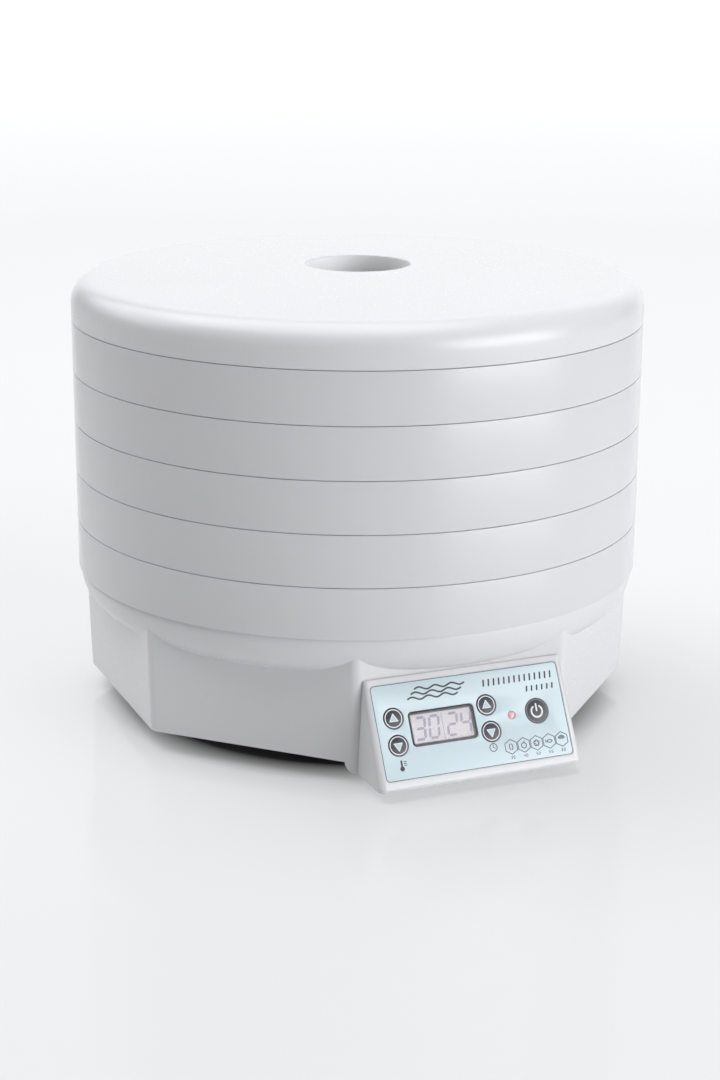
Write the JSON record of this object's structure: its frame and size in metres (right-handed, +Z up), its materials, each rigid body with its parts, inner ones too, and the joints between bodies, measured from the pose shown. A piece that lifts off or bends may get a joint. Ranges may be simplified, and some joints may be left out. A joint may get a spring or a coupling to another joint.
{
  "type": "food dehydrator",
  "caption": "Round countertop food dehydrator: octagonal base with a sloping digital control pod, nesting lift-off trays and a domed lid with a central vent.",
  "frame": {"origin": "on the worktop, under the middle of the machine's whole footprint; the axis of the round stack is 8.15 mm behind it, towards +Y", "axes": "+Z up along the stack, -Y out of the front where the control pod is, +X to the right of a person who faces the pod"},
  "size_m": [0.34, 0.3562, 0.2652],
  "materials": {
    "white_shell": "satin",
    "tray_plastic": "satin",
    "dark_plastic": "matte",
    "rubber": "matte",
    "steel": "satin",
    "laminated_steel": "satin",
    "aluminium": "satin",
    "brass": "satin",
    "copper": "gloss",
    "mica": "matte",
    "ceramic": "matte",
    "component_black": "satin",
    "terminal_plastic": "satin",
    "board": "satin",
    "wire_sleeve": "satin",
    "label_film": "satin",
    "display_frame": "satin",
    "display_glass": "gloss",
    "lcd": "satin",
    "led": "gloss",
    "button_face": "satin"
  },
  "bodies": {
    "base": {"base_housing": "white_shell", "plenum_deck": "tray_plastic", "air_duct": "dark_plastic", "base_plate": "dark_plastic", "feet": "rubber", "base_screws": "steel", "deck_screws": "steel", "heater_frame": "mica", "heater_coil": "steel", "thermal_cutout": "steel", "thermal_fuse": "ceramic", "temperature_probe": "component_black", "motor_core": "laminated_steel", "motor_winding": "copper", "motor_brackets": "aluminium", "bearing_bushes": "brass", "motor_grommets": "rubber", "motor_screws": "steel", "power_board": "board", "transformer": "component_black", "relay": "component_black", "terminal_block": "terminal_plastic", "capacitor": "component_black", "board_screws": "steel", "cord_gland": "dark_plastic", "motor_wires": "wire_sleeve", "heater_wires": "wire_sleeve", "control_harness": "wire_sleeve", "pod_body": "white_shell", "pod_fascia": "white_shell", "pod_screws": "steel", "control_label": "label_film", "display_bezel": "display_frame", "display_window": "display_glass", "lcd_panel": "lcd", "led_lens": "led", "control_board": "board", "tact_switches": "component_black"},
    "tray_1": {"tray_1": "tray_plastic", "tray_1_grid": "tray_plastic"},
    "tray_2": {"tray_2": "tray_plastic", "tray_2_grid": "tray_plastic"},
    "tray_3": {"tray_3": "tray_plastic", "tray_3_grid": "tray_plastic"},
    "tray_4": {"tray_4": "tray_plastic", "tray_4_grid": "tray_plastic"},
    "tray_5": {"tray_5": "tray_plastic", "tray_5_grid": "tray_plastic"},
    "lid": {"lid": "white_shell"},
    "fan": {"motor_shaft": "steel", "motor_rotor": "steel", "fan_impeller": "dark_plastic"},
    "temp_up_button": {"temp_up_button": "button_face"},
    "temp_down_button": {"temp_down_button": "button_face"},
    "time_up_button": {"time_up_button": "button_face"},
    "time_down_button": {"time_down_button": "button_face"},
    "power_button": {"power_button": "button_face"}
  },
  "joints": [
    {"name": "tray_1_lift", "type": "slide", "parent": "base", "child": "tray_1", "axis": [0, 0, 1], "range_m": [0, 0.06]},
    {"name": "tray_2_lift", "type": "slide", "parent": "tray_1", "child": "tray_2", "axis": [0, 0, 1], "range_m": [0, 0.06]},
    {"name": "tray_3_lift", "type": "slide", "parent": "tray_2", "child": "tray_3", "axis": [0, 0, 1], "range_m": [0, 0.06]},
    {"name": "tray_4_lift", "type": "slide", "parent": "tray_3", "child": "tray_4", "axis": [0, 0, 1], "range_m": [0, 0.06]},
    {"name": "tray_5_lift", "type": "slide", "parent": "tray_4", "child": "tray_5", "axis": [0, 0, 1], "range_m": [0, 0.06]},
    {"name": "lid_lift", "type": "slide", "parent": "tray_5", "child": "lid", "axis": [0, 0, 1], "range_m": [0, 0.08]},
    {"name": "fan_spin", "type": "hinge", "parent": "base", "child": "fan", "pos_m": [0, 0.00815, 0.04], "axis": [0, 0, 1], "continuous": true},
    {"name": "temp_up_press", "type": "slide", "parent": "base", "child": "temp_up_button", "axis": [0, 0.876, -0.4824], "range_m": [0, 0.0006], "stiffness_N_per_m": 400},
    {"name": "temp_down_press", "type": "slide", "parent": "base", "child": "temp_down_button", "axis": [0, 0.876, -0.4824], "range_m": [0, 0.0006], "stiffness_N_per_m": 400},
    {"name": "time_up_press", "type": "slide", "parent": "base", "child": "time_up_button", "axis": [0, 0.876, -0.4824], "range_m": [0, 0.0006], "stiffness_N_per_m": 400},
    {"name": "time_down_press", "type": "slide", "parent": "base", "child": "time_down_button", "axis": [0, 0.876, -0.4824], "range_m": [0, 0.0006], "stiffness_N_per_m": 400},
    {"name": "power_press", "type": "slide", "parent": "base", "child": "power_button", "axis": [0, 0.876, -0.4824], "range_m": [0, 0.0006], "stiffness_N_per_m": 400}
  ]
}
